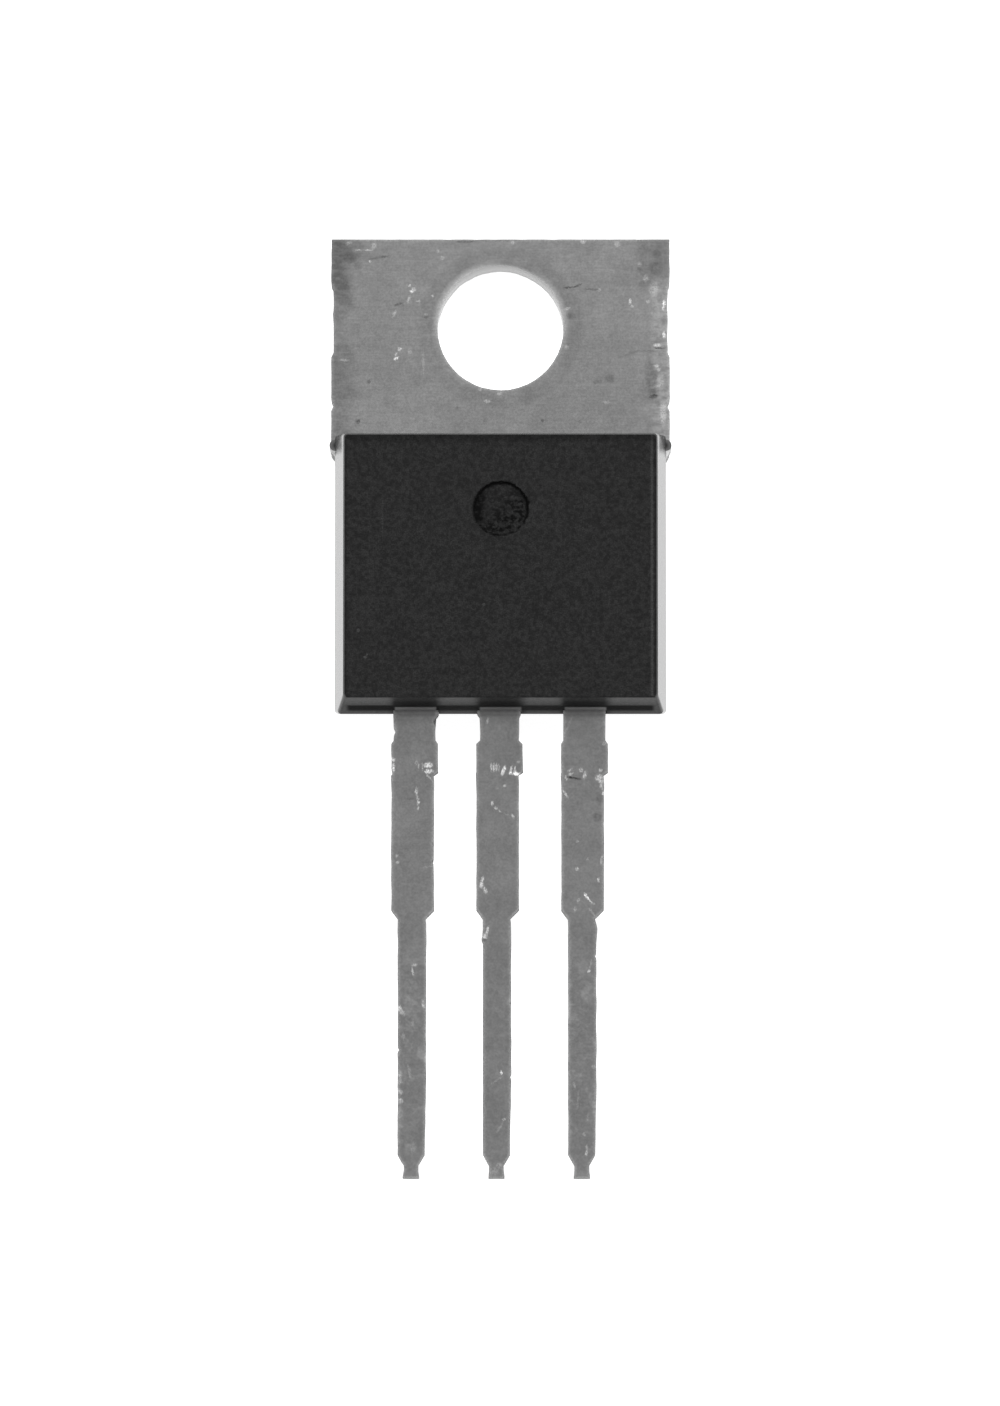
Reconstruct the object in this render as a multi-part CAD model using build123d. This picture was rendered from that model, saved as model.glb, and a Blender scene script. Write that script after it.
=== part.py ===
from build123d import *
import os
from math import cos, hypot, radians, tan

# Three-lead linear voltage regulator in a flat power package with a screw-down tab.
#
# The part lies on its back. +Z is the way the front face looks, +Y runs from the leads
# towards the end of the tab, and X runs across. The origin is the centre of the mounting
# hole at the back face. Lengths are in millimetres and angles in degrees.

# Tab: the bare end of the copper heat-sink frame
tab_thickness = 1.27
tab_width = 10.08
tab_end_y = 2.70
hole_diameter = 3.8

# Lands left proud on the tab's sides where the strip's tie bars were cut off,
# with their distances from the end of the tab
land_height = 0.065
land_slope_length = 0.14
end_land_length = 1.43
middle_land_start = 3.46
middle_land_end = 4.95
root_land_start = 5.11

# Moulding
hole_to_body = 3.28
body_length = 8.585
body_side_inset = 0.055
body_front_z = 4.50
side_draft = 5.3
end_draft = 7.0
body_corner_radius = 0.12
front_edge_radius = 0.06
ejector_diameter = 1.64
ejector_setback = 2.66
ejector_depth = 0.07

# Tab's shoulders and the half-round notches beside them, which the moulding fills,
# with their distances from the moulding's tab end
shoulder_setback = 0.73
shoulder_slope_length = 0.24
notch_radius = 0.17
notch_setback = 0.30

# Part of the heat-sink frame inside the moulding: a pad, bare at the back, with a coined
# ledge round its front that keys it into the plastic, and a groove across the front
pad_width = 8.3
pad_setback = 2.12
ledge_overhang = 0.30
ledge_thickness = 0.60
groove_setback = 1.43
groove_depth = 0.15

# Leads, all in one plane above the back face
lead_pitch = 2.54
lead_thickness = 0.47
lead_back_z = 2.40
outer_neck_width = 1.26
centre_neck_width = 1.17
trim_zone_width = 1.40
upper_width = 1.28
lower_width = 0.815
nib_width = 0.44
# The forming tool sets the free part of each lead a little off the neck's centreline
upper_offset = -0.085
lower_offset = -0.12
# Distances of the changes in width from the moulding's lead end
trim_zone_start = 0.885
trim_zone_end = 1.855
trim_slope_length = 0.10
upper_end = 5.925
lower_start = 6.195
lower_end = 13.245
nib_start = 13.565
lead_length = 13.955

# Joggle of the centre lead, which is one piece with the heat-sink frame
joggle_angle = 65
joggle_radius = 0.42

# Bond posts: the widened inner ends of the two outer leads
post_width = 2.2
post_length = 1.6
post_corner_radius = 0.2
post_setback = 0.65
post_shift = 0.12
anchor_hole_diameter = 0.6
anchor_hole_setback = 0.6

# Chip and the solder under it
die_width = 2.0
die_length = 1.9
die_thickness = 0.28
die_setback = 2.65
solder_thickness = 0.05
solder_margin = 0.10

# Bond wires, drawn with eight flats
wire_diameter = 0.18
wire_flats = 8
wire_foot_length = 0.32
wire_bend_radius = 0.16
wire_flattening = 0.25
wire_loop_height = 0.45
wire_rise_run = 0.25
bond_pad_inset = 0.42
sense_pad_step = 0.75
post_bond_spread = 0.95
ground_bond_gap = 0.25

# Worked-out places and heights
body_tab_end_y = -hole_to_body
body_lead_end_y = body_tab_end_y - body_length
tab_half = tab_width / 2
body_half = tab_half - body_side_inset
shoulder_y = body_tab_end_y - shoulder_setback
notch_y = body_tab_end_y - notch_setback
pad_end_y = body_lead_end_y + pad_setback
ledge_end_y = pad_end_y - ledge_overhang
die_y = pad_end_y + die_setback
post_start_y = body_lead_end_y + post_setback
lead_front_z = lead_back_z + lead_thickness
solder_top_z = tab_thickness + solder_thickness
die_top_z = solder_top_z + die_thickness
overlap = 1.0
upright = (Align.CENTER, Align.CENTER, Align.MIN)


def slab(points, z_low, z_high):
    """Flat piece with the given outline, between two heights."""
    outline = make_face(Polyline(*points, close=True))
    return extrude(Pos(0, 0, z_low) * outline, amount=z_high - z_low)


def mirrored(points):
    """Outline made of a right-hand side, listed upwards, and its mirror image."""
    return points + [(-x, y) for x, y in reversed(points)]


# ---------------------------------------------------------------- heat-sink frame


def tab_side():
    """Right-hand side of the tab, from its shoulder up to its end, with the tie-bar lands."""
    proud = tab_half + land_height
    return [
        (tab_half - land_height, shoulder_y),
        (proud, shoulder_y + shoulder_slope_length),
        (proud, tab_end_y - root_land_start - land_slope_length),
        (tab_half, tab_end_y - root_land_start),
        (tab_half, tab_end_y - middle_land_end),
        (proud, tab_end_y - middle_land_end + land_slope_length),
        (proud, tab_end_y - middle_land_start - land_slope_length),
        (tab_half, tab_end_y - middle_land_start),
        (tab_half, tab_end_y - end_land_length),
        (proud, tab_end_y - end_land_length + land_slope_length),
        (proud, tab_end_y),
    ]


def notch_pins():
    """Upright round pins, half in the tab's sides, that fill the notches."""
    pin = Cylinder(notch_radius, tab_thickness, align=upright)
    return [Pos(side * body_half, notch_y, 0) * pin for side in (-1, 1)]


def pad():
    """Buried part of the frame: bare pad at the back, wider keyed ledge at the front."""
    half = pad_width / 2
    wide = half + ledge_overhang
    top_y = shoulder_y + overlap
    ledge_back_z = tab_thickness - ledge_thickness
    bare = slab(mirrored([(half, pad_end_y), (half, top_y)]), 0, tab_thickness)
    ledge = slab(mirrored([(wide, ledge_end_y), (wide, top_y)]), ledge_back_z, tab_thickness)
    flank = groove_depth * 2**0.5
    groove_y = body_tab_end_y - groove_setback
    groove = Pos(0, groove_y, tab_thickness) * Rot(45, 0, 0) * Box(2 * tab_width, flank, flank)
    return bare + ledge - groove


def joggled_neck():
    """Strip that climbs from the pad's ledge to the plane of the leads."""
    low_z = tab_thickness - lead_thickness / 2
    high_z = lead_back_z + lead_thickness / 2
    foot_y = ledge_end_y - joggle_radius * tan(radians(joggle_angle / 2))
    run = (high_z - low_z) / tan(radians(joggle_angle))
    path = Plane.YZ * FilletPolyline(
        (ledge_end_y + overlap, low_z),
        (foot_y, low_z),
        (foot_y - run, high_z),
        (body_lead_end_y, high_z),
        radius=joggle_radius,
    )
    start = Plane(path @ 0, x_dir=(1, 0, 0), z_dir=path % 0)
    return sweep(start * Rectangle(centre_neck_width, lead_thickness), path=path)


def lead_side(side):
    """One side of a lead outside the moulding, from below the neck down to the nib."""
    stations = (
        (trim_zone_start, trim_zone_width, 0),
        (trim_zone_end - trim_slope_length, trim_zone_width, 0),
        (trim_zone_end, upper_width, upper_offset),
        (upper_end, upper_width, upper_offset),
        (lower_start, lower_width, lower_offset),
        (lower_end, lower_width, lower_offset),
        (nib_start, nib_width, lower_offset),
        (lead_length, nib_width, lower_offset),
    )
    return [(offset + side * width / 2, body_lead_end_y - reach) for reach, width, offset in stations]


def flat_lead(neck_width, neck_top_y):
    """Straight flat lead on the middle plane, with its top end at the given place."""
    neck_end_y = body_lead_end_y - trim_zone_start + trim_slope_length
    neck = mirrored([(neck_width / 2, neck_end_y), (neck_width / 2, neck_top_y)])
    outline = neck + lead_side(-1) + lead_side(1)[::-1]
    return slab(outline, lead_back_z, lead_front_z)


def heat_sink_frame():
    tab = slab(mirrored(tab_side()), 0, tab_thickness)
    hole = Cylinder(hole_diameter / 2, 3 * tab_thickness)
    centre_lead = joggled_neck() + flat_lead(centre_neck_width, body_lead_end_y)
    return tab + pad() + centre_lead - hole - notch_pins()


# ---------------------------------------------------------------- outer leads


def post_centre(side):
    """Middle of a bond post, in plan."""
    return side * (lead_pitch + post_shift), post_start_y + post_length / 2


def outer_lead(side):
    """Lead with its bond post; side is -1 on the left and 1 on the right."""
    x, y = post_centre(side)
    face = Pos(x, y, lead_back_z) * RectangleRounded(post_width, post_length, post_corner_radius)
    post = extrude(face, amount=lead_thickness)
    lead = Pos(side * lead_pitch, 0, 0) * flat_lead(outer_neck_width, y)
    anchor = Cylinder(anchor_hole_diameter / 2, 3 * lead_thickness)
    return lead + post - Pos(side * lead_pitch, post_start_y + anchor_hole_setback, lead_front_z) * anchor


# ---------------------------------------------------------------- chip, solder and bond wires


def solder():
    border = 2 * solder_margin
    plate = Box(die_width + border, die_length + border, solder_thickness, align=upright)
    return Pos(0, die_y, tab_thickness) * plate


def die():
    return Pos(0, die_y, solder_top_z) * Box(die_width, die_length, die_thickness, align=upright)


def bond_wire(start, start_z, end, end_z, supports):
    """Wire looped from one bond to another, each foot flattened on what it is bonded to."""
    across, along = end[0] - start[0], end[1] - start[1]
    length = hypot(across, along)
    loop_plane = Plane((*start, 0), x_dir=(across, along, 0), z_dir=(along, -across, 0))
    lift = wire_diameter * (0.5 - wire_flattening)
    top = max(start_z, end_z) + lift + wire_loop_height
    path = loop_plane * FilletPolyline(
        (0, start_z + lift),
        (wire_foot_length, start_z + lift),
        (wire_foot_length + wire_rise_run, top),
        (length - wire_foot_length - wire_rise_run, top),
        (length - wire_foot_length, end_z + lift),
        (length, end_z + lift),
        radius=wire_bend_radius,
    )
    start_plane = Plane(path @ 0, x_dir=(0, 0, 1), z_dir=path % 0)
    octagon = RegularPolygon(wire_diameter / 2, wire_flats, major_radius=False, rotation=180 / wire_flats)
    return sweep(start_plane * octagon, path=path) - supports


def bond_wires(frame, chip, input_lead, output_lead):
    """Four wires: supply in, regulated output, its sense line, and ground to the frame."""
    pad_x = die_width / 2 - bond_pad_inset
    pad_y = die_y - die_length / 2 + bond_pad_inset
    post_x, post_y = post_centre(1)
    half_spread = post_bond_spread / 2
    ground_end_y = die_y - die_length / 2 - solder_margin - ground_bond_gap - 2 * wire_foot_length
    routes = {
        "input_wire": ((-pad_x, pad_y), (-post_x + half_spread, post_y), input_lead),
        "output_wire": ((pad_x, pad_y), (post_x - half_spread, post_y), output_lead),
        "sense_wire": ((pad_x, pad_y + sense_pad_step), (post_x + half_spread, post_y), output_lead),
        "ground_wire": ((0, pad_y), (0, ground_end_y), frame),
    }
    return {
        name: bond_wire(start, die_top_z, end, tab_thickness if seat is frame else lead_front_z, [chip, seat])
        for name, (start, end, seat) in routes.items()
    }


# ---------------------------------------------------------------- moulding


def drafted_width():
    """Moulding seen from its ends: widest at the tab's front plane, drafted both ways."""
    slope = tan(radians(side_draft))
    right = [
        (body_half - tab_thickness * slope, 0),
        (body_half, tab_thickness),
        (body_half - (body_front_z - tab_thickness) * slope, body_front_z),
    ]
    section = Plane.XZ * make_face(Polyline(*mirrored(right), close=True))
    return extrude(section, amount=2 * abs(body_lead_end_y), both=True)


def drafted_length():
    """Moulding seen from the side: longest at the leads' back plane, drafted both ways."""
    slope = tan(radians(end_draft))
    outline = (
        (body_tab_end_y, 0),
        (body_tab_end_y, tab_thickness),
        (body_tab_end_y - (body_front_z - tab_thickness) * slope, body_front_z),
        (body_lead_end_y + (body_front_z - lead_back_z) * slope, body_front_z),
        (body_lead_end_y, lead_back_z),
        (body_lead_end_y + lead_back_z * slope, 0),
    )
    section = Plane.YZ * make_face(Polyline(*outline, close=True))
    return extrude(section, amount=tab_width, both=True)


def ejector_mark():
    """Shallow round print of the pin that pushed the moulding out of its mould."""
    centre = Pos(0, body_tab_end_y - ejector_setback, body_front_z - ejector_depth)
    return centre * Cylinder(ejector_diameter / 2, overlap, align=upright)


def moulded_body(inside):
    """Black moulding: drafted block with everything it holds cut out of it."""
    block = drafted_width() & drafted_length()
    uprights = [edge for edge in block.edges() if abs((edge % 0.5).Z) > cos(radians(30))]
    block = fillet(uprights, body_corner_radius)
    front_face = block.faces().sort_by(Axis.Z)[-1]
    block = fillet(front_face.outer_wire().edges(), front_edge_radius)
    return block + notch_pins() - ejector_mark() - inside


# ---------------------------------------------------------------- build


def build():
    frame, chip = heat_sink_frame(), die()
    input_lead, output_lead = outer_lead(-1), outer_lead(1)
    pieces = {
        "heat_sink_frame": frame,
        "input_lead": input_lead,
        "output_lead": output_lead,
        "die_solder": solder(),
        "regulator_die": chip,
        **bond_wires(frame, chip, input_lead, output_lead),
    }
    pieces["moulded_body"] = moulded_body(list(pieces.values()))
    return pieces


os.makedirs("parts", exist_ok=True)
for name, piece in build().items():
    export_step(piece, f"parts/{name}.step")
    print(name, round(piece.volume, 4))
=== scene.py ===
"""Looks of the voltage regulator: surfaces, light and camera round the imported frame, in metres."""
from math import ceil, cos, exp, radians, sin

import bmesh
import bpy
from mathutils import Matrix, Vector, noise


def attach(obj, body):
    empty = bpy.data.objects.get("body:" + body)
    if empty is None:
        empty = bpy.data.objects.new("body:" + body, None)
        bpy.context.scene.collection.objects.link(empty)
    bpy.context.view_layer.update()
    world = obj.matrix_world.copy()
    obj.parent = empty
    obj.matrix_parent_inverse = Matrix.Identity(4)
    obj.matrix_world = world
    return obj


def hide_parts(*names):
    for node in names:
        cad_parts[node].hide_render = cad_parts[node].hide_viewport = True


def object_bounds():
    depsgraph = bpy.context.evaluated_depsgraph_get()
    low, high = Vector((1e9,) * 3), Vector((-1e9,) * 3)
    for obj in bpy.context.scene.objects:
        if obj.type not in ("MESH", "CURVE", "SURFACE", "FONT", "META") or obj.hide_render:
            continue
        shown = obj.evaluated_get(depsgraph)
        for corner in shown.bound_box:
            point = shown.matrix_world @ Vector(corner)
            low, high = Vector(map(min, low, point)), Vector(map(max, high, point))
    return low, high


MM = 0.001

# Camera: far off, almost square-on, leaning a little towards the leads
CAMERA_DISTANCE = 350 * MM
CAMERA_TILT = radians(6.8)
CAMERA_AIM = (-0.015 * MM, -11.398 * MM, 1.27 * MM)
SENSOR_WIDTH = 36.0
FOCAL_LENGTH = 298.3
NEAREST_SEEN = 0.01

# Light: one soft-edged key from beyond the tab, and an even fill. The mirrored strengths are
# what the glossy surfaces see of the white surroundings.
KEY_LEAN = radians(11)
KEY_SPREAD = radians(9)
KEY_STRENGTH = 2.4
FILL_STRENGTH = 0.25
MIRRORED_SKY = 0.7
FLOOR_HALF_WIDTH = 2.0
FLOOR_GAP = 0.002 * MM
FLOOR_COLOUR = 0.93
FLOOR_MOTTLE = 0.01
FLOOR_GLOW = 0.90
MIRRORED_FLOOR_GLOW = 0.65

# Skins of the metal pieces: the spacing of the points along their edges, the length that is too
# short to keep, how far the points wander and over what length, the slices that keep the faces
# short, and the angles from which an edge is cut up and is shaded as an edge
EDGE_STEP = 0.05 * MM
SHORTEST_EDGE = 0.1 * EDGE_STEP
SAME_POINT = 1e-4 * MM
EDGE_WANDER = 0.014 * MM
WANDER_LENGTH = 0.45 * MM
OTHER_NOISE = Vector((40, 0, 0))
SLICE = 0.4 * MM
EDGE_ANGLE = radians(20)
CREASE_ANGLE = radians(35)
# On the frame, what lies beyond here is the centre lead
LEADS_FROM = -6 * MM

# How the leads differ from their drawing, in millimetres: how far their roots stand off the
# middle of the moulding, where the trimmed stubs slip to, and how far the lower leads bulge on
# their right. Each pair of places goes from where there is nothing to where it is whole.
LEAD_PITCH = 2.54
ROOT_LEAN = -0.03
ROOT_PLACES = (-14.0, -13.5)
TRIM_ALONG = -12.95
TRIM_REACH = 0.7
TRIM_SLIP = -0.075
LOWER_AXIS = -0.12
LOWER_BULGE = 0.035
LOWER_START = (-18.0, -18.2)
LOWER_END = (-25.0, -23.0)

# Tones of the plating: the tab, the lower and upper leads, bare bright metal, the painted highlight
# on the hole's rolled rim, the lighter right side of the tab, and the painted highlights on its
# shoulders beside the moulding and on the leads' tips
TAB_TONE = 0.255
LEAD_TONE = 0.183
UPPER_LEAD_TONE = 1.07 * LEAD_TONE
CHIP_TONE = 0.45
RIM_HIGHLIGHT_TONE = 0.08
RIGHT_SIDE_TONE = 0.075
SHOULDER_HIGHLIGHT_TONE = 0.23
TIP_HIGHLIGHT_TONE = 0.012
# The wall of the hole, from its front edge to its back one: burnished, and painted lighter towards
# the back as a reflection
WALL_TONES = (0.22, 0.55)
# Share of the tone left in the darker ring round the hole, in the shade at the leads' roots and
# where the roots catch the light
RING_SHARE = 0.92
ROOT_SHADE_SHARE = 0.80
ROOT_LIGHT_SHARE = 1.32
# How far the painted highlight along the edges reaches, how rough the tin and the wall of the hole
# are, and how deep the grain and the rolling lines go
EDGE_HIGHLIGHT_REACH = 0.24 * MM
TIN_ROUGHNESS = (0.74, 0.84)
WALL_ROUGHNESS = 0.4
TIN_GRAIN_DEPTH = 0.004 * MM
ROLLING_LINE_DEPTH = 0.006 * MM

# Tones of the moulding: its grain, the black for its painted shade and the print's stains, the grey
# patch round the leads' roots, the plugs beside it and the painted highlight on the rounded edges
GRAIN_TONES = (0.0085, 0.0225)
SHADE_AND_STAIN_COLOUR = (0.003, 0.003, 0.003, 1)
ROOT_PATCH_TONE = 0.305
PLUG_TONE = 0.028
EDGE_GLINT_TONE = 0.10
# Shares of painted shade above the leads and along the front's borders
ABOVE_LEAD_SHADE = 0.45
BORDER_SHADE = 0.35
# Gloss at a glancing angle: its strength, narrowness and roughness, and the shares that it loses
# in the shade of the leads and on the sides next to the tab
GLOSS_STRENGTH = 0.72
GLOSS_POWER = 2.95
GLOSS_ROUGHNESS = 0.2
SHADE_LOSS = 0.6
COLLAR_LOSS = 0.65
# The matt surface under that gloss
MATT_ROUGHNESS = 0.85
MATT_SPECULAR = 0.2
FINE_GRAIN_DEPTH = 0.004 * MM
COARSE_GRAIN_DEPTH = 0.01 * MM
WHITE = (1, 1, 1, 1)

# Places on the part, in millimetres: the hole, the ejector pin's print, the resin plug beside
# the moulding, the moulding's right front edge, and how far its tab end leans for each
# millimetre of height
HOLE_RADIUS = 1.9
PRINT_CENTRE = (0.02, -5.95, 0)
PLUG_CENTRE = (4.945, -3.585, 0)
FRONT_EDGE_ACROSS = 4.515
TAB_END_SLOPE = 0.159

# Wear on the plating, placed in the part's plan in millimetres. A spot is its centre across and
# along, its diameter and its strength; a stroke is its centre, length, width, lean in degrees
# and strength. Bare bright metal is above zero; pits, scores and stains are below.
TAB_SPOTS = (
    (-4.50, 2.15, 0.30, -0.25),
    (-3.94, 2.02, 0.07, 0.60),
    (-4.30, 1.90, 0.24, -0.25),
    (-2.74, 1.29, 0.07, 0.80),
    (-2.68, 1.10, 0.09, 0.90),
    (-2.62, 1.17, 0.12, 0.45),
    (-2.05, 0.98, 0.08, 0.45),
    (-1.88, 2.34, 0.08, 0.30),
    (-1.75, 2.13, 0.12, 0.20),
    (-2.25, 0.41, 0.09, 0.30),
    (-2.24, 0.33, 0.12, -0.35),
    (-2.95, 0.67, 0.08, -0.30),
    (-3.04, -0.65, 0.10, 0.60),
    (-2.74, -0.74, 0.12, 0.20),
    (-3.97, -1.64, 0.12, -0.35),
    (-4.30, -2.86, 0.14, -0.70),
    (-1.31, -2.45, 0.10, -0.30),
    (-0.46, -2.83, 0.09, -0.35),
    (1.26, -2.83, 0.10, -0.40),
    (2.38, -2.86, 0.09, -0.25),
    (-0.61, -1.88, 0.12, 0.25),
    (2.98, 1.15, 0.10, 0.25),
    (3.97, 0.65, 0.09, 0.35),
    (4.45, 0.80, 0.11, 0.30),
    (4.39, 1.51, 0.17, 0.30),
    (4.20, 1.93, 0.12, 0.20),
    (4.20, 1.77, 0.16, -0.28),
    (4.27, 1.33, 0.18, -0.20),
    (4.72, 2.26, 0.26, -0.25),
    (4.69, 1.81, 0.42, -0.30),
    (1.99, -0.59, 0.13, 0.25),
    (4.78, -1.27, 0.10, 0.30),
    (3.30, -1.53, 0.29, -0.30),
    (0.38, 2.60, 0.12, 0.30),
    (3.52, 2.55, 0.17, 0.25),
)
TAB_STROKES = (
    (-4.58, 2.58, 0.20, 0.09, 10, 0.35),
    (-4.28, 2.37, 0.18, 0.05, 0, 0.40),
    (-4.00, 2.37, 0.28, 0.05, 0, 0.45),
    (-3.82, 2.50, 0.22, 0.14, 75, 0.30),
    (-3.68, 2.14, 0.60, 0.07, 9, -0.45),
    (-2.77, 0.86, 0.22, 0.08, 72, 0.35),
    (-2.48, 0.81, 0.12, 0.07, 0, 0.40),
    (-3.20, 0.42, 0.24, 0.08, 62, 0.28),
    (-3.06, 0.72, 0.26, 0.06, 18, -0.50),
    (-3.16, -0.81, 0.12, 0.07, 50, 0.50),
    (-3.15, -0.93, 0.17, 0.07, 25, 0.90),
    (-4.71, -0.98, 0.24, 0.08, 0, 0.35),
    (-2.32, -1.05, 0.80, 0.06, 90, 0.15),
    (-0.40, -2.24, 0.20, 0.08, 0, 0.45),
    (-0.03, -2.01, 0.15, 0.09, 0, 0.35),
    (2.05, 1.23, 0.32, 0.05, 4, -0.55),
    (2.32, 1.28, 0.28, 0.05, 22, -0.65),
    (2.75, 1.17, 0.40, 0.06, -4, -0.35),
    (3.91, 0.80, 0.16, 0.08, 80, 0.65),
    (4.93, 0.74, 0.17, 0.08, 90, 1.00),
    (4.91, 0.59, 0.11, 0.07, 90, 0.70),
    (4.62, 1.18, 0.40, 0.26, 80, 0.25),
    (2.03, 0.58, 0.16, 0.08, 30, 0.40),
    (2.11, 0.36, 0.28, 0.18, 0, -0.30),
    (4.93, -0.22, 0.18, 0.08, 90, 0.80),
    (4.72, -0.53, 0.24, 0.08, 0, 0.60),
    (4.78, -0.62, 0.34, 0.04, -2, -0.90),
    (4.42, -0.71, 0.40, 0.05, 3, -0.25),
    (4.56, -1.60, 1.30, 0.34, 95, -0.32),
    (4.57, -2.12, 0.34, 0.05, 0, -0.30),
    (4.69, -1.16, 0.17, 0.10, 0, 0.50),
    (4.82, -1.60, 0.50, 0.22, 80, 0.20),
    (4.66, -1.80, 0.28, 0.09, 8, 0.30),
    (4.66, -2.07, 0.30, 0.06, 0, -0.45),
    (2.92, -1.65, 0.26, 0.12, 15, -0.20),
    (3.95, -0.77, 0.50, 0.08, 20, -0.20),
    (2.44, -1.94, 0.45, 0.10, 0, -0.12),
    (3.19, -2.27, 0.22, 0.10, 0, 0.18),
    (4.90, -2.60, 0.60, 0.18, 90, 0.35),
    (-1.06, 2.63, 0.50, 0.07, 0, -0.50),
    (-0.10, 2.66, 1.30, 0.05, 0, -0.35),
    (2.50, 2.62, 0.17, 0.10, 0, 0.40),
)
CENTRE_LEAD_SPOTS = (
    (0.30, -13.70, 0.09, 0.60),
    (0.12, -14.08, 0.08, 0.40),
    (-0.10, -14.14, 0.10, 0.12),
    (-0.14, -14.75, 0.08, 0.60),
    (-0.46, -18.60, 0.13, 0.55),
    (0.10, -24.08, 0.09, 0.35),
    (-0.04, -25.46, 0.16, 0.22),
    (-0.18, -25.62, 0.25, 0.15),
)
CENTRE_LEAD_STROKES = (
    (-0.39, -12.13, 0.20, 0.08, 75, 0.35),
    (-0.28, -13.52, 0.24, 0.06, 90, 0.45),
    (-0.20, -13.53, 0.26, 0.06, 90, 0.55),
    (-0.12, -13.52, 0.24, 0.06, 90, 0.45),
    (-0.05, -13.53, 0.22, 0.05, 90, 0.35),
    (0.09, -13.62, 0.28, 0.09, 70, 1.00),
    (0.31, -13.61, 0.24, 0.07, 80, 0.55),
    (0.43, -13.60, 0.22, 0.06, 85, 0.60),
    (0.47, -13.72, 0.26, 0.10, -5, 1.00),
    (0.53, -13.36, 0.11, 0.07, 30, 0.30),
    (-0.25, -14.60, 0.15, 0.08, 85, 0.50),
    (-0.01, -14.85, 0.12, 0.05, -40, 0.30),
    (0.18, -14.94, 0.20, 0.04, -20, 0.13),
    (0.37, -15.00, 0.18, 0.07, -65, 0.40),
    (-0.53, -16.88, 0.16, 0.09, 80, 0.55),
    (-0.57, -17.04, 0.20, 0.11, 85, 0.80),
    (-0.46, -17.20, 0.24, 0.10, -70, 0.50),
    (-0.39, -18.42, 0.24, 0.08, 75, 0.60),
    (-0.50, -18.72, 0.14, 0.06, 20, -0.60),
    (0.02, -22.68, 0.12, 0.07, 90, 0.90),
    (-0.13, -22.92, 0.45, 0.05, 35, 0.15),
    (-0.01, -24.30, 0.38, 0.06, 60, 0.15),
)
INPUT_LEAD_SPOTS = (
    (-3.20, -13.29, 0.11, 0.65),
    (-3.10, -16.19, 0.09, 0.30),
    (-3.07, -16.38, 0.10, 0.32),
    (-3.02, -20.75, 0.13, 0.50),
    (-3.00, -22.93, 0.14, 0.35),
    (-2.98, -23.52, 0.15, 0.40),
)
INPUT_LEAD_STROKES = (
    (-3.20, -13.53, 0.20, 0.09, 90, 0.80),
    (-2.16, -13.46, 0.24, 0.15, 0, 0.90),
    (-2.14, -13.64, 0.23, 0.13, 0, 0.90),
    (-2.33, -13.52, 0.22, 0.05, 90, 0.45),
    (-2.45, -13.50, 0.20, 0.05, 90, 0.30),
    (-2.52, -13.39, 0.16, 0.08, 80, 0.25),
    (-2.15, -13.79, 0.38, 0.05, -52, 0.35),
    (-2.52, -14.23, 0.22, 0.08, 85, 0.45),
    (-2.48, -14.42, 0.30, 0.06, -78, 0.40),
    (-2.46, -14.59, 0.13, 0.07, 90, 0.50),
    (-2.46, -14.75, 0.12, 0.06, 90, 0.50),
    (-2.71, -14.47, 0.34, 0.08, 4, -0.22),
    (-2.17, -16.51, 0.26, 0.05, 8, 0.16),
    (-2.56, -19.46, 0.16, 0.08, 10, 0.35),
    (-2.62, -19.65, 0.28, 0.06, -82, 0.38),
    (-2.95, -20.86, 0.26, 0.13, -50, 0.28),
    (-2.31, -20.62, 0.22, 0.08, -75, 0.50),
    (-2.62, -21.22, 0.14, 0.08, 90, 0.15),
    (-2.90, -21.60, 0.28, 0.10, 90, 0.15),
    (-2.98, -23.25, 0.20, 0.13, -50, 0.30),
    (-2.59, -24.90, 0.34, 0.18, 90, 0.12),
    (-2.99, -22.74, 0.20, 0.10, 90, 0.25),
    (-2.72, -22.65, 0.38, 0.08, -78, 0.16),
)
OUTPUT_LEAD_SPOTS = (
    (2.41, -13.61, 0.12, 0.35),
    (2.99, -13.62, 0.11, 0.50),
    (2.94, -13.84, 0.20, 0.55),
    (3.01, -13.97, 0.12, 0.55),
    (3.09, -14.31, 0.10, 0.80),
    (3.10, -12.82, 0.10, 0.30),
    (2.89, -15.02, 0.26, -0.35),
    (2.96, -14.47, 0.20, -0.30),
    (2.29, -15.75, 0.08, 0.25),
    (2.29, -16.58, 0.10, 0.50),
    (2.60, -16.28, 0.08, 0.20),
    (2.63, -19.65, 0.09, 0.50),
    (2.76, -22.50, 0.10, 0.22),
    (2.49, -24.52, 0.10, 0.16),
)
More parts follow.
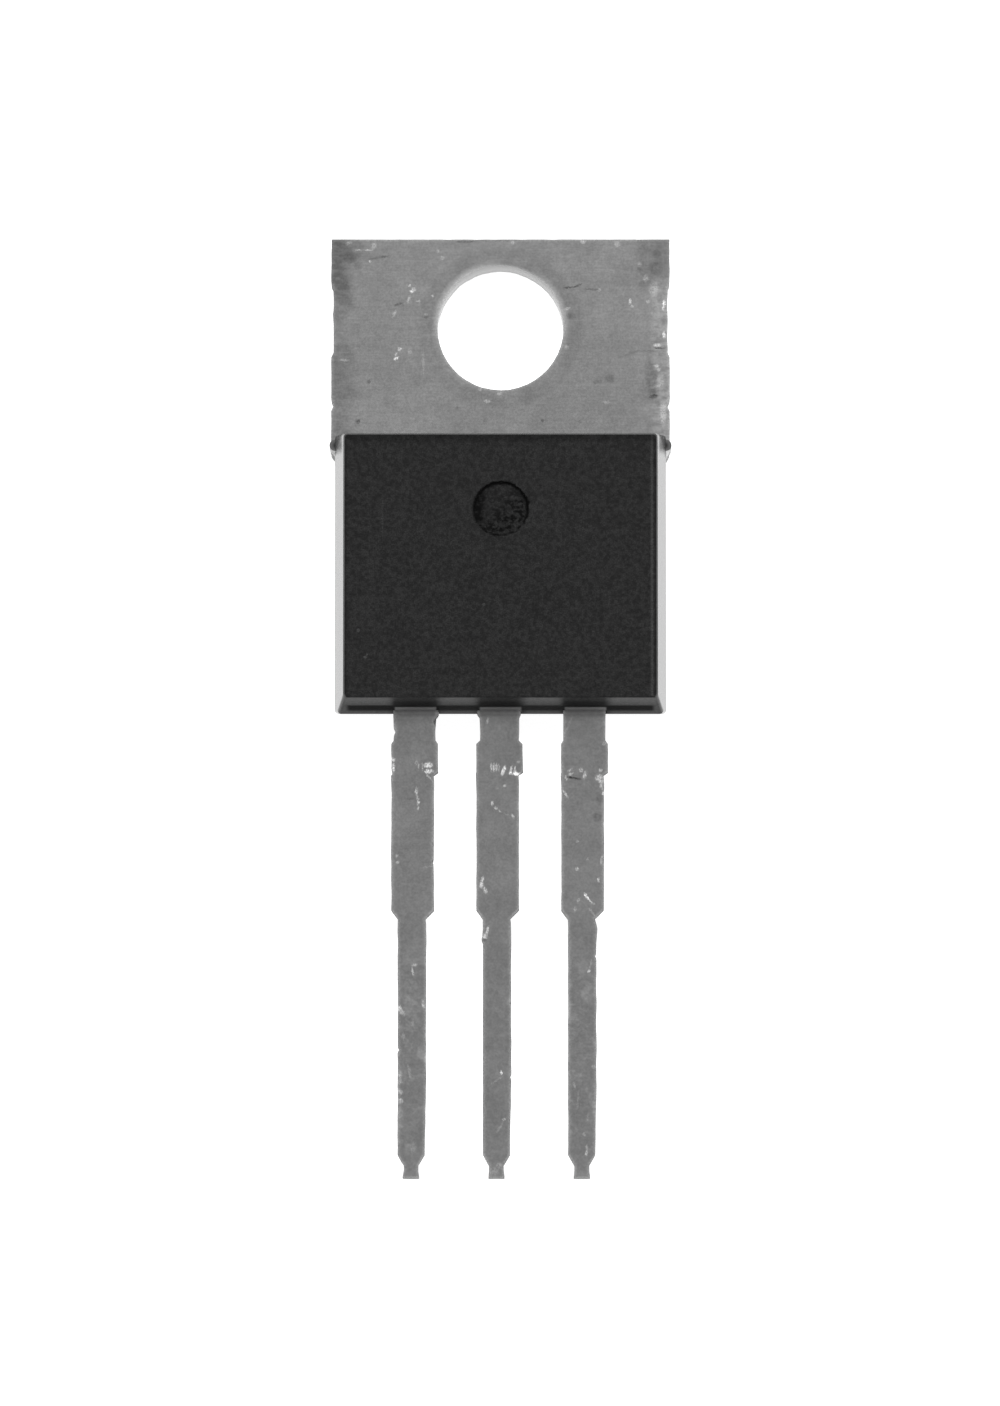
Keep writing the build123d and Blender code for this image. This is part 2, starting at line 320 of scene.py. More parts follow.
OUTPUT_LEAD_STROKES = (
    (2.03, -12.27, 0.50, 0.07, 65, 0.10),
    (2.10, -13.72, 0.15, 0.08, 20, 0.50),
    (2.08, -13.60, 0.16, 0.07, 40, 0.35),
    (2.52, -13.76, 0.22, 0.10, 80, 0.50),
    (2.20, -13.85, 0.40, 0.07, -9, -0.75),
    (1.96, -13.84, 0.16, 0.07, -80, 0.45),
    (3.01, -14.10, 0.20, 0.07, -70, 0.45),
    (1.94, -14.32, 0.28, 0.07, -60, 0.45),
    (2.92, -16.91, 0.12, 0.07, 90, 0.65),
    (3.01, -16.32, 0.26, 0.07, 80, 0.30),
    (2.56, -17.39, 0.22, 0.07, -55, 1.00),
    (2.67, -17.53, 0.20, 0.05, -48, 0.55),
    (2.76, -17.62, 0.12, 0.06, 0, 0.20),
    (2.33, -17.52, 0.13, 0.07, 60, 0.25),
    (2.22, -17.79, 0.14, 0.07, 80, 0.28),
    (2.73, -17.87, 0.32, 0.06, -50, 0.18),
    (2.69, -19.42, 0.34, 0.05, 80, 0.14),
    (2.20, -23.05, 0.17, 0.07, -75, 0.22),
    (2.30, -23.50, 0.45, 0.05, 85, 0.12),
    (2.60, -24.00, 0.22, 0.06, 90, 0.15),
    (2.57, -24.93, 0.24, 0.05, 85, 0.20),
    (2.56, -25.09, 0.14, 0.07, 90, 0.55),
)

# Pale specks and a faint scratch on the moulding's front
MOULDING_SPOTS = (
    (-4.24, -9.60, 0.10, 0.030),
    (-4.03, -10.41, 0.09, 0.035),
    (-3.98, -10.32, 0.06, 0.030),
    (-0.49, -8.82, 0.08, 0.030),
)
MOULDING_STROKES = ((-3.52, -6.20, 1.40, 0.05, 90, 0.008),)

# Bites and burrs on the metal's edges, in millimetres: centre across and along, push across,
# and how far the push reaches
DENTS = {
    "heat_sink_frame": (
        (-5.04, 0.40, -0.02, 0.08),
        (-5.02, -3.95, 0.04, 0.12),
        (-0.58, -11.86, -0.10, 0.10),
        (0.60, -11.88, 0.06, 0.08),
        (-0.50, -18.68, -0.05, 0.07),
        (0.30, -20.60, -0.05, 0.07),
        (0.29, -22.80, -0.04, 0.06),
        (-0.29, -25.80, -0.03, 0.12),
        (0.11, -25.80, 0.02, 0.12),
    ),
    "input_lead": (
        (-3.17, -12.40, 0.06, 0.08),
        (-3.24, -13.68, 0.07, 0.06),
        (-1.91, -11.88, 0.10, 0.11),
        (-1.91, -12.13, -0.08, 0.08),
        (-1.97, -15.83, -0.05, 0.06),
        (-1.97, -16.34, -0.05, 0.06),
        (-3.24, -15.30, 0.02, 0.08),
        (-3.03, -21.99, 0.08, 0.06),
        (-2.85, -25.80, -0.04, 0.12),
        (-2.41, -25.80, 0.03, 0.12),
    ),
    "output_lead": (
        (3.12, -15.32, -0.05, 0.10),
        (3.12, -14.26, -0.03, 0.05),
        (2.85, -18.12, -0.05, 0.08),
        (2.86, -18.40, 0.03, 0.12),
        (2.85, -19.18, -0.05, 0.06),
        (2.67, -25.80, 0.03, 0.12),
        (2.23, -25.80, -0.02, 0.12),
    ),
}

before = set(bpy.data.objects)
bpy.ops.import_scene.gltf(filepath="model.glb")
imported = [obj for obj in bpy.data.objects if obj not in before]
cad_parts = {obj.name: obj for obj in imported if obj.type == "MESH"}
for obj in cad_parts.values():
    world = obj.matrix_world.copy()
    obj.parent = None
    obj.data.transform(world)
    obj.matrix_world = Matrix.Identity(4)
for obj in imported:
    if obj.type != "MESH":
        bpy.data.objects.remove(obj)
cad_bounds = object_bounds()


# ---------------------------------------------------------------- node helpers


class Graph:
    """A material's or world's nodes being built: short ways to add them, join them and do sums."""

    def __init__(self, owner):
        self.owner = owner
        owner.use_nodes = True
        self.tree = owner.node_tree
        self.tree.nodes.clear()

    def node(self, kind, values=(), **settings):
        made = self.tree.nodes.new("ShaderNode" + kind)
        for name, value in settings.items():
            setattr(made, name, value)
        for socket, value in dict(values).items():
            self.put(made.inputs[socket], value)
        return made

    def put(self, socket, value):
        if isinstance(value, bpy.types.NodeSocket):
            self.tree.links.new(value, socket)
        else:
            socket.default_value = value

    def maths(self, operation, first, second=0.0, clamp=False):
        made = self.node("Math", {0: first, 1: second}, operation=operation, use_clamp=clamp)
        return made.outputs[0]

    def product(self, first, *others):
        for other in others:
            first = self.maths("MULTIPLY", first, other)
        return first

    def most(self, first, *others):
        for other in others:
            first = self.maths("MAXIMUM", first, other)
        return first

    def left_by(self, share):
        """What a share leaves of the whole."""
        return self.maths("SUBTRACT", 1.0, share)

    def distance(self, value, middle):
        """How far a number is from a middle, either way."""
        return self.maths("ABSOLUTE", self.maths("SUBTRACT", value, middle))

    def radius(self, across, along):
        squares = self.maths("ADD", self.product(across, across), self.product(along, along))
        return self.maths("SQRT", squares)

    def ramp(self, value, low, high, low_out=0.0, high_out=1.0, smooth=True):
        """Value taken from one range to another, and held at its ends."""
        made = self.node(
            "MapRange",
            {0: value, 1: low, 2: high, 3: low_out, 4: high_out},
            interpolation_type="SMOOTHSTEP" if smooth else "LINEAR",
            clamp=not smooth,
        )
        return made.outputs[0]

    def blend(self, factor, first, second):
        """Number that goes from the first to the second with the factor."""
        made = self.node("Mix", {0: factor, 2: first, 3: second}, data_type="FLOAT")
        return made.outputs[0]

    def grey(self, value):
        return self.node("CombineColor", {0: value, 1: value, 2: value}).outputs[0]

    def vector(self, operation, first, second, output=0):
        made = self.node("VectorMath", {0: first, 1: second}, operation=operation)
        return made.outputs[output]

    def places(self):
        """Position on the object, in millimetres."""
        position = self.node("TexCoord").outputs["Object"]
        return self.node("VectorMath", {0: position, "Scale": 1 / MM}, operation="SCALE").outputs[0]

    def parts(self, vector):
        """The three numbers of a vector."""
        return self.node("SeparateXYZ", {0: vector}).outputs

    def facing(self):
        """The way the surface looks, along the object's own axes."""
        return self.parts(self.node("TexCoord").outputs["Normal"])

    def stretched(self, place, scale):
        return self.vector("MULTIPLY", place, scale)

    def speckle(self, place, scale, detail=2.0, roughness=0.5):
        values = {"Vector": place, "Scale": scale, "Detail": detail, "Roughness": roughness}
        return self.node("TexNoise", values).outputs[0]

    def shaken(self, place, scale, amount):
        """Places moved about a little, so that what is drawn with them gets ragged."""
        cloud = self.node("TexNoise", {"Vector": place, "Scale": scale, "Detail": 2.0})
        centred = self.vector("SUBTRACT", cloud.outputs["Color"], (0.5, 0.5, 0.5))
        values = {0: centred, 1: (amount, amount, 0), 2: place}
        return self.node("VectorMath", values, operation="MULTIPLY_ADD").outputs[0]

    def marks(self, place, spots, strokes):
        """Sum of the marks' strengths at each place."""
        total = 0.0
        flat = self.stretched(place, (1, 1, 0))
        for across, along, diameter, strength in spots:
            reach = self.vector("DISTANCE", flat, (across, along, 0), "Value")
            depth = self.ramp(reach, 0.75 * diameter, 0.25 * diameter, 0.0, strength)
            total = self.maths("ADD", depth, total)
        for across, along, length, width, lean, strength in strokes:
            values = {
                "Vector": place,
                "Location": (across, along, 0),
                "Rotation": (0, 0, radians(lean)),
                "Scale": (length / 2, width / 2, 100),
            }
            spot = self.node("Mapping", values, vector_type="TEXTURE").outputs[0]
            reach = self.node("VectorMath", {0: spot}, operation="LENGTH").outputs["Value"]
            total = self.maths("ADD", self.ramp(reach, 1.5, 0.5, 0.0, strength), total)
        return total

    def near_edges(self, reach):
        """One along the piece's edges, falling to nothing at the given distance from them."""
        rounded = self.node("Bevel", {"Radius": reach}, samples=8).outputs[0]
        flat = self.node("NewGeometry").outputs["True Normal"]
        return self.ramp(self.vector("DOT_PRODUCT", rounded, flat, "Value"), 1.0, 0.75)

    def bumped(self, height, distance, strength=1.0, under=None):
        values = {"Height": height, "Distance": distance, "Strength": strength}
        if under:
            values["Normal"] = under
        return self.node("Bump", values).outputs[0]

    def finish(self, shader, output="OutputMaterial"):
        self.node(output, {"Surface": shader})
        return self.owner


# ---------------------------------------------------------------- plating


def strip_tone(m, place, textures, lines):
    """Tone of the rolled strip: darker on the leads, brushed across, hazy on the lower leads."""
    across, along = m.parts(place)[:2]
    lead_tone = m.ramp(along, -20.0, -16.0, LEAD_TONE, UPPER_LEAD_TONE)
    tone = m.ramp(along, -11.5, -4.5, lead_tone, TAB_TONE)
    for texture, depth in textures:
        tone = m.product(tone, m.ramp(texture, 0.3, 0.7, 1 - depth, 1 + depth))
    brushed = m.ramp(lines, 0.3, 0.7, -0.035, 0.035)
    brushed = m.product(brushed, m.ramp(along, -12.0, -4.0, 0.35, 1.0))
    haze = m.ramp(m.speckle(place, 2.6, 3.0, 0.6), 0.46, 0.70, 0.0, 0.34)
    haze = m.product(haze, m.ramp(along, -18.0, -21.0), m.ramp(along, -25.3, -24.8))
    haze = m.product(haze, m.ramp(m.maths("ABSOLUTE", across), 0.5, 1.5, 0.35, 1.0))
    return m.product(tone, m.maths("ADD", m.maths("ADD", brushed, haze), 1.0))


def handled(m, place, tone, mottle, spots, strokes):
    """Tone with the handling marks, broken up into crumbs, and with a painted highlight along the
    edges.
    """
    wear = m.marks(m.shaken(place, 18.0, 0.09), spots, strokes)
    crumbs = m.speckle(m.stretched(place, (1.6, 0.7, 1.0)), 26.0, 1.0)
    bright = m.product(m.maths("MAXIMUM", wear, 0.0), m.ramp(crumbs, 0.36, 0.58, 0.3, 1.25))
    dark = m.product(m.maths("MINIMUM", wear, 0.0), m.ramp(mottle, 0.35, 0.6, 0.35, 1.0))
    tone = m.product(tone, m.maths("ADD", dark, 1.0, clamp=True))
    tone = m.maths("ADD", tone, m.product(bright, CHIP_TONE))
    # Painted highlight along the metal's edges, standing for light caught where they round over
    edge_highlight = m.product(m.near_edges(EDGE_HIGHLIGHT_REACH), m.ramp(crumbs, 0.35, 0.65, 0.07, 0.15))
    return m.maths("ADD", tone, edge_highlight)


def hole_rim(m, place):
    """Burnished wall of the punched hole, the painted highlight on its rolled-over front edge and
    the darker ring round it.
    """
    across, along = m.parts(place)[:2]
    beyond = m.maths("SUBTRACT", m.radius(across, along), HOLE_RADIUS)
    upright = m.ramp(m.maths("ABSOLUTE", m.facing()[2]), 0.9, 0.1)
    wall = m.product(upright, m.ramp(beyond, 0.20, 0.13))
    aside = m.distance(across, 0.35)
    # Painted highlight on the rolled-over front edge, strongest above the hole
    rim_highlight = m.product(m.ramp(beyond, 0.20, 0.06), m.ramp(aside, 0.3, 1.2, -0.5, 1.0))
    rim_highlight = m.product(rim_highlight, m.ramp(along, -0.6, 0.2, 0.1, 1.0))
    ring = m.product(m.ramp(beyond, 0.12, 0.24), m.ramp(beyond, 0.7, 0.4))
    return wall, rim_highlight, ring


def tab_sides(m, place, tone, cloud):
    """Tone darker towards the tab's far corners and lighter in streaks down its right side."""
    across, along = m.parts(place)[:2]
    fibres = m.speckle(m.stretched(place, (3.0, 6.0, 3.0)), 1.0, 3.0, 0.6)
    reach = m.maths("ADD", across, m.ramp(cloud, 0.3, 0.7, -0.2, 0.2))
    darker_left = m.product(m.ramp(reach, -4.1, -4.85), m.ramp(along, 0.5, 1.3, 0.2, 0.42))
    darker_right = m.product(m.ramp(reach, 3.9, 4.4), m.ramp(along, 0.9, 1.6, 0.0, 0.2))
    darker_sides = m.product(m.maths("ADD", darker_left, darker_right), m.ramp(fibres, 0.3, 0.6, 0.6, 1.1))
    tone = m.product(tone, m.left_by(darker_sides))
    lighter_right = m.product(m.ramp(across, 4.42, 4.7), m.ramp(along, 1.9, 1.2))
    lighter_right = m.product(lighter_right, m.ramp(fibres, 0.36, 0.62))
    return m.maths("ADD", tone, m.product(lighter_right, RIGHT_SIDE_TONE))


def near_moulding(m, place, tone):
    """Tone with the moulding's painted shade and painted light on the leads' roots, painted light on
    the tab beside the moulding, and a painted highlight on the shoulders.
    """
    across, along, height = m.parts(place)
    on_leads = m.ramp(along, -8.0, -9.0)
    shade_end = m.ramp(across, 1.2, 1.4, -12.40, -12.18)
    shade = m.ramp(along, -11.93, shade_end, ROOT_SHADE_SHARE, 1.0)
    light = m.ramp(along, -11.96, -11.88, 1.0, ROOT_LIGHT_SHARE)
    # Painted light on the tab just beside the moulding
    tone = m.product(tone, m.ramp(along, -1.8, -3.0, 1.0, 1.05))
    tone = m.product(tone, m.blend(on_leads, 1.0, shade), m.blend(on_leads, 1.0, light))
    # Painted highlight on the shoulders' slopes beside the moulding
    shoulder_highlight = m.ramp(m.maths("ABSOLUTE", across), 4.8, 4.95)
    shoulder_highlight = m.product(shoulder_highlight, m.ramp(along, -3.68, -3.74), m.ramp(height, 1.12, 1.20))
    return m.maths("ADD", tone, m.product(shoulder_highlight, SHOULDER_HIGHLIGHT_TONE))


def tin_plating(name, spots, strokes):
    """Dull tin over copper, with the grain of the rolled strip, handling marks and a painted
    highlight along its edges.
    """
    m = Graph(bpy.data.materials.new(name))
    place = m.places()
    along, height = m.parts(place)[1:]
    cloud = m.speckle(place, 1.1, 3.0)
    mottle = m.speckle(place, 6.0, 2.0, 0.6)
    grain = m.speckle(place, 15.0, 2.0, 0.6)
    lines = m.speckle(m.stretched(place, (0.5, 9.0, 3.0)), 2.0, 3.0)
    tone = strip_tone(m, place, ((cloud, 0.06), (mottle, 0.06), (grain, 0.07)), lines)
    tone = handled(m, place, tone, mottle, spots, strokes)
    wall, rim_highlight, ring = hole_rim(m, place)
    tone = m.product(tone, m.ramp(ring, 0.0, 1.0, 1.0, RING_SHARE))
    tone = m.maths("ADD", tone, m.product(rim_highlight, RIM_HIGHLIGHT_TONE))
    tone = tab_sides(m, place, tone, cloud)
    tone = near_moulding(m, place, tone)
    # Painted highlight in a band just short of each lead's end
    tip_highlight = m.product(m.ramp(along, -25.58, -25.66), m.ramp(along, -25.78, -25.72))
    tone = m.maths("ADD", tone, m.product(tip_highlight, TIP_HIGHLIGHT_TONE))
    # The hole's wall: burnished, with a painted reflection that grows lighter towards its back edge
    tone = m.blend(wall, tone, m.ramp(height, 1.25, 0.05, *WALL_TONES))
    rough = m.blend(wall, m.ramp(grain, 0.3, 0.7, *TIN_ROUGHNESS), WALL_ROUGHNESS)
    normal = m.bumped(lines, ROLLING_LINE_DEPTH, 0.25)
    normal = m.bumped(grain, TIN_GRAIN_DEPTH, 0.5, normal)
    values = {"Base Color": m.grey(tone), "Metallic": 1.0, "Roughness": rough, "Normal": normal}
    return m.finish(m.node("BsdfPrincipled", values).outputs[0])


# ---------------------------------------------------------------- moulding


def ejector_print(m, place):
    """Painted shade round the rim of the ejector pin's print, darkest at the top, with a smear on
    its left and a stain on its scuffed floor.
    """
    spot = m.vector("SUBTRACT", m.shaken(place, 9.0, 0.14), PRINT_CENTRE)
    across, along = m.parts(spot)[:2]
    radius = m.radius(across, along)
    blots = m.speckle(m.stretched(place, (1.0, 1.3, 1.0)), 5.0, 3.0, 0.7)
    patchy = m.ramp(blots, 0.36, 0.56)
    upper = m.ramp(m.maths("ADD", along, m.product(across, 0.15)), -0.5, 0.2)
    line = m.product(m.ramp(radius, 0.70, 0.79), m.ramp(radius, 0.87, 0.80))
    rim = m.product(line, m.blend(upper, m.product(patchy, 0.75), 0.9))
    smear = m.product(m.ramp(radius, 0.42, 0.66), m.ramp(radius, 0.90, 0.80))
    smear = m.product(smear, m.ramp(across, -0.3, -0.6))
    smear = m.product(smear, m.ramp(m.maths("ABSOLUTE", along), 0.62, 0.3))
    smear = m.product(smear, m.blend(patchy, 0.35, 0.75))
    stain = m.product(m.ramp(radius, 0.80, 0.70), m.ramp(blots, 0.44, 0.60))
    stain = m.product(stain, m.ramp(m.maths("SUBTRACT", across, along), -0.4, 0.5, 0.3, 0.7))
    return m.most(rim, smear, stain), m.ramp(radius, 0.84, 0.78)


def lead_end_looks(m, reach, height, look_y):
    """The end that the leads leave by, its band of painted shade where the gloss is taken out, the
    painted shade round each lead and a grey patch round each lead's root.
    """
    lead_end = m.ramp(look_y, -0.8, -0.95)
    band = m.product(lead_end, m.ramp(height, 3.60, 3.38), m.ramp(reach, 4.66, 4.5))
    band = m.product(band, m.ramp(height, 2.64, 2.97))
    from_lead = m.maths("MINIMUM", m.distance(reach, LEAD_PITCH), reach)
    shade = m.product(lead_end, m.ramp(from_lead, 0.86, 0.58), m.ramp(height, 2.40, 2.60))
    root_patch = m.product(lead_end, m.ramp(from_lead, 0.66, 0.58), m.ramp(height, 3.36, 3.16))
    root_patch = m.product(root_patch, m.ramp(height, 2.60, 2.75))
    return lead_end, band, shade, root_patch


def moulding_compound():
    """Black filled epoxy: matt, finely pitted, and mirror-like only at a glancing angle."""
    m = Graph(bpy.data.materials.new("moulding_compound"))
    place = m.places()
    across, along, height = m.parts(place)
    look_x, look_y, look_z = m.facing()
    reach = m.maths("ABSOLUTE", across)
    on_front = m.ramp(look_z, 0.95, 0.99)
    patch = m.speckle(place, 3.0, 2.0)
    grain = m.speckle(place, 9.0, 2.0, 0.6)
    fine = m.speckle(place, 26.0, 2.0, 0.6)
    tone = m.ramp(grain, 0.3, 0.7, *GRAIN_TONES)
    tone = m.product(tone, m.ramp(fine, 0.3, 0.7, 0.55, 1.45), m.ramp(patch, 0.3, 0.7, 0.92, 1.08))

    # The print's painted shade, smear and stain
    dark, inside = ejector_print(m, place)
    scuff = m.speckle(m.stretched(place, (1.0, 1.6, 1.0)), 5.0, 3.0, 0.7)
    tone = m.product(tone, m.left_by(dark))
    tone = m.product(tone, m.blend(inside, 1.0, m.ramp(scuff, 0.4, 0.6, 0.75, 1.0)))

    lead_end, shaded_band, shade, root_patch = lead_end_looks(m, reach, height, look_y)
    # Painted shade above each lead, standing for the shaded leads' reflection
    above_lead_shade = m.product(shade, m.ramp(height, 4.2, 3.75), ABOVE_LEAD_SHADE)
    # Painted shade along the front's borders, where its edges round over
    border = m.most(m.ramp(reach, 4.54, 4.64), m.ramp(along, -4.0, -3.8))
    border = m.product(border, on_front, BORDER_SHADE)
    # Painted shade in the band on the lead end, standing for the floor's reflected shadow
    band_shade = m.product(shaded_band, m.ramp(reach, 1.0, 4.0, 0.4, 0.62))
    # All the painted shade, with the print's marks, goes into the black mix below
    shade_and_stain = m.product(m.most(dark, border, band_shade, above_lead_shade), m.left_by(root_patch))

    spot = m.node("CombineXYZ", {0: reach, 1: along}).outputs[0]
    from_plug = m.vector("DISTANCE", spot, PLUG_CENTRE, "Value")
    low = m.ramp(height, 1.40, 1.30)
    dusted = m.product(m.ramp(from_plug, 0.02, 0.17), m.ramp(from_plug, 0.40, 0.25), low)
    plug = m.product(m.ramp(from_plug, 0.35, 0.2), low)
    tone = m.most(tone, m.product(plug, PLUG_TONE))
    # A grey patch round each lead's root on the lead end, and grey round the plugs
    tone = m.blend(root_patch, m.blend(dusted, tone, 0.2), ROOT_PATCH_TONE)

    # Painted highlight along the front where its right edge starts to round over
    line = m.product(m.ramp(m.distance(across, FRONT_EDGE_ACROSS), 0.07, 0.0), on_front)
    tone = m.maths("ADD", tone, m.product(line, m.ramp(fine, 0.3, 0.6, 0.012, 0.03)))
    # Painted highlight on the rounded edges that turn up or aside from the front
    turned = m.most(look_y, m.maths("ABSOLUTE", look_x))
    rolled = m.product(m.ramp(turned, 0.1, 0.5), m.ramp(look_z, 0.2, 0.45))
    tone = m.maths("ADD", tone, m.product(rolled, EDGE_GLINT_TONE))
    scuffs = m.marks(m.shaken(place, 18.0, 0.05), MOULDING_SPOTS, MOULDING_STROKES)
    scuffs = m.product(scuffs, m.ramp(look_z, 0.9, 0.99), m.ramp(fine, 0.35, 0.55, 0.4, 1.2))
    tone = m.maths("ADD", tone, scuffs)

    slanted = m.maths("ADD", along, m.product(height, TAB_END_SLOPE))
    collar = m.product(m.ramp(reach, 4.70, 4.79), m.ramp(slanted, -3.66, -3.39))
    edge_on = m.node("LayerWeight", {"Blend": 0.5}).outputs["Facing"]
    glance = m.maths("POWER", m.ramp(edge_on, 0.6, 1.0, smooth=False), GLOSS_POWER)
    glance = m.product(glance, GLOSS_STRENGTH, m.left_by(shaded_band))
    glance = m.product(glance, m.ramp(from_plug, 0.08, 0.22, 0.25, 1.0))
    glance = m.product(glance, m.blend(lead_end, 1.0, m.ramp(height, 3.45, 4.25, 0.5, 1.0)))
    glance = m.product(glance, m.left_by(m.product(shade, SHADE_LOSS)))
    glance = m.product(glance, m.left_by(m.product(collar, COLLAR_LOSS)))

    normal = m.bumped(grain, COARSE_GRAIN_DEPTH, 0.4)
    normal = m.bumped(fine, FINE_GRAIN_DEPTH, 0.4, normal)
    matt_values = {
        "Base Color": m.grey(tone),
        "Roughness": MATT_ROUGHNESS,
        "Specular IOR Level": MATT_SPECULAR,
        "Normal": normal,
    }
    matt = m.node("BsdfPrincipled", matt_values).outputs[0]
    black = m.node("BsdfDiffuse", {"Color": SHADE_AND_STAIN_COLOUR, "Normal": normal}).outputs[0]
    matt = m.node("MixShader", {0: shade_and_stain, 1: matt, 2: black}).outputs[0]
    gloss = m.node("BsdfAnisotropic", {"Color": WHITE, "Roughness": GLOSS_ROUGHNESS}).outputs[0]
    return m.finish(m.node("MixShader", {0: glance, 1: matt, 2: gloss}).outputs[0])


# ---------------------------------------------------------------- other finishes


def plain_inner(name, colour, metallic, roughness):
    """Finish of a piece sealed inside: slightly uneven, and never seen."""
    m = Graph(bpy.data.materials.new(name))
    grain = m.speckle(m.places(), 12.0)
    tone = m.product(m.ramp(grain, 0.3, 0.7, 0.9, 1.1), colour)
    values = {
        "Base Color": m.grey(tone),
        "Metallic": metallic,
        "Roughness": m.ramp(grain, 0.3, 0.7, roughness - 0.05, roughness + 0.05),
    }
    return m.finish(m.node("BsdfPrincipled", values).outputs[0])


def floor_finish():
    """White card, brighter to the camera and in mirrors alone, so the object's shadow stays."""
    m = Graph(bpy.data.materials.new("floor_card"))
    grain = m.speckle(m.places(), 2.0)
    colour = m.grey(m.ramp(grain, 0.2, 0.8, FLOOR_COLOUR - FLOOR_MOTTLE, FLOOR_COLOUR))
    card = m.node("BsdfDiffuse", {"Color": colour}).outputs[0]
    path = m.node("LightPath").outputs
    seen = m.product(path["Is Camera Ray"], FLOOR_GLOW)
    mirrored = m.most(path["Is Glossy Ray"], path["Is Transmission Ray"])
    strength = m.most(seen, m.product(mirrored, MIRRORED_FLOOR_GLOW))
    glow = m.node("Emission", {"Strength": strength}).outputs[0]
    return m.finish(m.node("AddShader", {0: card, 1: glow}).outputs[0])


# ---------------------------------------------------------------- pieces


def share_of_way(value, start, end):
    """How far a value has come from the start to the end, from nothing to one."""
    return min(max((value - start) / (end - start), 0), 1)


def wander(place, seed):
    """Small smooth offset in plan, the same through the thickness."""
    spot = Vector((place.x, place.y, seed * MM)) / WANDER_LENGTH
    return Vector((noise.noise(spot), noise.noise(spot + OTHER_NOISE), 0)) * EDGE_WANDER


def dented(place, dents):
    """Offset of a place by the bites and burrs near it, and by the leads' lean, slip and bulge."""
    x, y = place.x / MM, place.y / MM
    push = 0
    slip = 0
    if place.y < LEADS_FROM:
        right_of_axis = x > LEAD_PITCH * round(x / LEAD_PITCH) + LOWER_AXIS
        lower = share_of_way(y, *LOWER_START) * share_of_way(y, *LOWER_END)
        push = ROOT_LEAN * share_of_way(y, *ROOT_PLACES) + LOWER_BULGE * right_of_axis * lower
        slip = TRIM_SLIP * exp(-(((y - TRIM_ALONG) / TRIM_REACH) ** 2))
    for across, along, depth, reach in dents:
        push += depth * exp(-((x - across) ** 2 + (y - along) ** 2) / reach**2)
    return Vector((push * MM, slip * MM, 0))


def add_edge_points(shape):
    """Cuts the shape's level edges into short steps, and gives each long face a middle point."""
    by_cuts = {}
    for edge in shape.edges:
        upright = abs(edge.verts[0].co.z - edge.verts[1].co.z) > SHORTEST_EDGE
        if not upright and edge.is_manifold and edge.calc_face_angle() > EDGE_ANGLE:
            # a hair over a whole number of steps isn't worth another cut
            cuts = ceil(edge.calc_length() / EDGE_STEP - 0.01) - 1
            by_cuts.setdefault(cuts, []).append(edge)
    by_cuts.pop(0, None)
    for cuts, edges in by_cuts.items():
        alive = [edge for edge in edges if edge.is_valid]
        bmesh.ops.subdivide_edges(shape, edges=alive, cuts=cuts)
    many_sided = [face for face in shape.faces if len(face.verts) > 3]
    bmesh.ops.poke(shape, faces=many_sided, center_mode="MEAN_WEIGHTED")


def worn_skin(node, materials, seed):
    """Copy of a metal piece with its edges a little uneven, as stamping and handling leave them."""
    shape = bmesh.new()
    shape.from_mesh(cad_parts[node].data)
    bmesh.ops.remove_doubles(shape, verts=shape.verts, dist=SAME_POINT)
    ends = [vertex.co.y for vertex in shape.verts]
    for step in range(ceil(min(ends) / SLICE), ceil(max(ends) / SLICE)):
        whole = shape.verts[:] + shape.edges[:] + shape.faces[:]
        bmesh.ops.bisect_plane(shape, geom=whole, plane_co=(0, step * SLICE, 0), plane_no=(0, 1, 0))
    bmesh.ops.remove_doubles(shape, verts=shape.verts, dist=SHORTEST_EDGE)
    add_edge_points(shape)
    lead_tips, tab_end = cad_bounds[0][1], cad_bounds[1][1]
    for vertex in shape.verts:
        vertex.co += wander(vertex.co, seed) + dented(vertex.co, DENTS[node])
        vertex.co.y = min(max(vertex.co.y, lead_tips), tab_end)
    mesh = bpy.data.meshes.new(node + "_skin")
    points = [vertex.co for vertex in shape.verts]
    shape.verts.index_update()
    mesh.from_pydata(points, [], [[vertex.index for vertex in face.verts] for face in shape.faces])
    shape.free()
    mesh.shade_smooth()
    mesh.set_sharp_from_angle(angle=CREASE_ANGLE)
    for material in materials:
        mesh.materials.append(material)
    for face in mesh.polygons:
        face.material_index = int(len(materials) > 1 and face.center.y < LEADS_FROM)
    skin = bpy.data.objects.new(node + "_skin", mesh)
    bpy.context.scene.collection.objects.link(skin)
    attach(skin, "root")
    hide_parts(node)


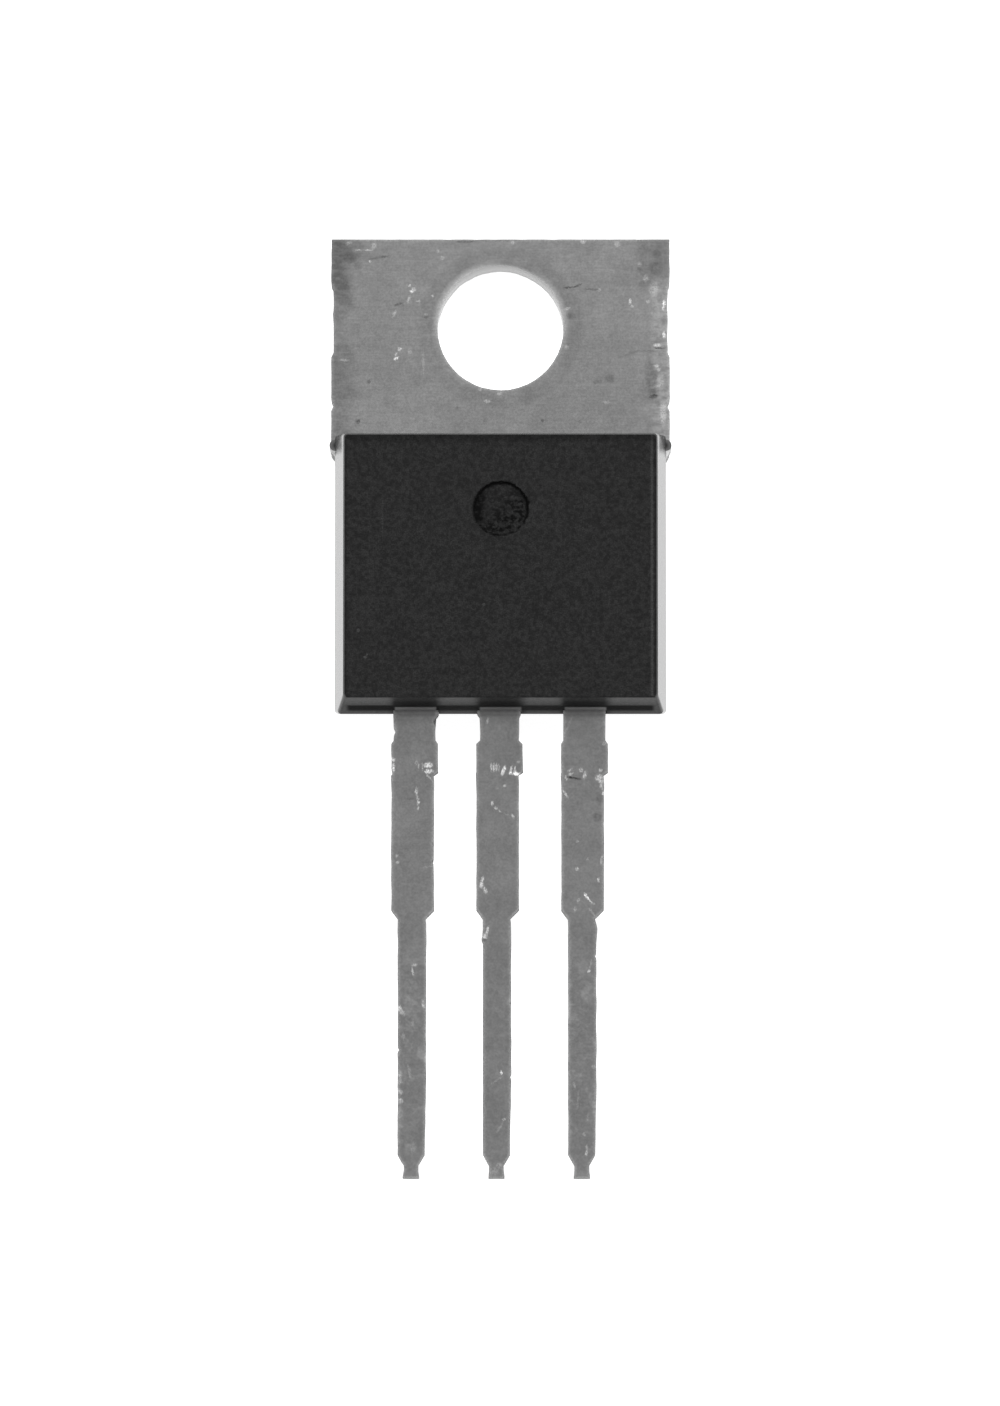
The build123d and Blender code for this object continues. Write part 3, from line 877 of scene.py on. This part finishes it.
def dress_pieces():
    tab_tin = tin_plating("tab_tin", TAB_SPOTS, TAB_STROKES)
    centre_tin = tin_plating("centre_lead_tin", CENTRE_LEAD_SPOTS, CENTRE_LEAD_STROKES)
    input_tin = tin_plating("input_lead_tin", INPUT_LEAD_SPOTS, INPUT_LEAD_STROKES)
    output_tin = tin_plating("output_lead_tin", OUTPUT_LEAD_SPOTS, OUTPUT_LEAD_STROKES)
    worn_skin("heat_sink_frame", (tab_tin, centre_tin), 0)
    worn_skin("input_lead", (input_tin,), 1)
    worn_skin("output_lead", (output_tin,), 2)
    finishes = {
        "moulded_body": moulding_compound(),
        "die_solder": plain_inner("soft_solder", 0.45, 1.0, 0.5),
        "regulator_die": plain_inner("silicon", 0.12, 0.0, 0.2),
    }
    wire = plain_inner("aluminium_wire", 0.8, 1.0, 0.3)
    for node in ("input_wire", "output_wire", "sense_wire", "ground_wire"):
        finishes[node] = wire
    for node, finish in finishes.items():
        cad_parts[node].material_slots[0].material = finish


# ---------------------------------------------------------------- stage, light and camera


def lay_floor():
    mesh = bpy.data.meshes.new("floor")
    half = FLOOR_HALF_WIDTH
    corners = [(-half, -half, 0), (half, -half, 0), (half, half, 0), (-half, half, 0)]
    mesh.from_pydata(corners, [], [(0, 1, 2, 3)])
    mesh.materials.append(floor_finish())
    floor = bpy.data.objects.new("floor", mesh)
    floor.location.z = cad_bounds[0][2] - FLOOR_GAP
    bpy.context.scene.collection.objects.link(floor)


def light_studio():
    lamp = bpy.data.lights.new("key", "SUN")
    lamp.energy = KEY_STRENGTH
    lamp.angle = KEY_SPREAD
    key = bpy.data.objects.new("key", lamp)
    key.rotation_euler = (-KEY_LEAN, 0, 0)
    bpy.context.scene.collection.objects.link(key)
    sky = Graph(bpy.data.worlds.new("studio"))
    path = sky.node("LightPath").outputs
    mirrored = sky.most(path["Is Glossy Ray"], path["Is Transmission Ray"])
    seen = sky.most(path["Is Camera Ray"], sky.product(mirrored, MIRRORED_SKY))
    values = {"Color": WHITE, "Strength": sky.most(seen, FILL_STRENGTH)}
    white = sky.node("Background", values).outputs[0]
    bpy.context.scene.world = sky.finish(white, "OutputWorld")


def set_camera():
    lens = bpy.data.cameras.new("camera")
    lens.sensor_width = SENSOR_WIDTH
    lens.lens = FOCAL_LENGTH
    lens.clip_start = NEAREST_SEEN
    camera = bpy.data.objects.new("camera", lens)
    back = Vector((0, -sin(CAMERA_TILT), cos(CAMERA_TILT)))
    camera.location = Vector(CAMERA_AIM) + back * CAMERA_DISTANCE
    camera.rotation_euler = (CAMERA_TILT, 0, 0)
    bpy.context.scene.collection.objects.link(camera)
    bpy.context.scene.camera = camera


dress_pieces()
lay_floor()
light_studio()
set_camera()
bpy.context.scene.view_settings.view_transform = "Standard"
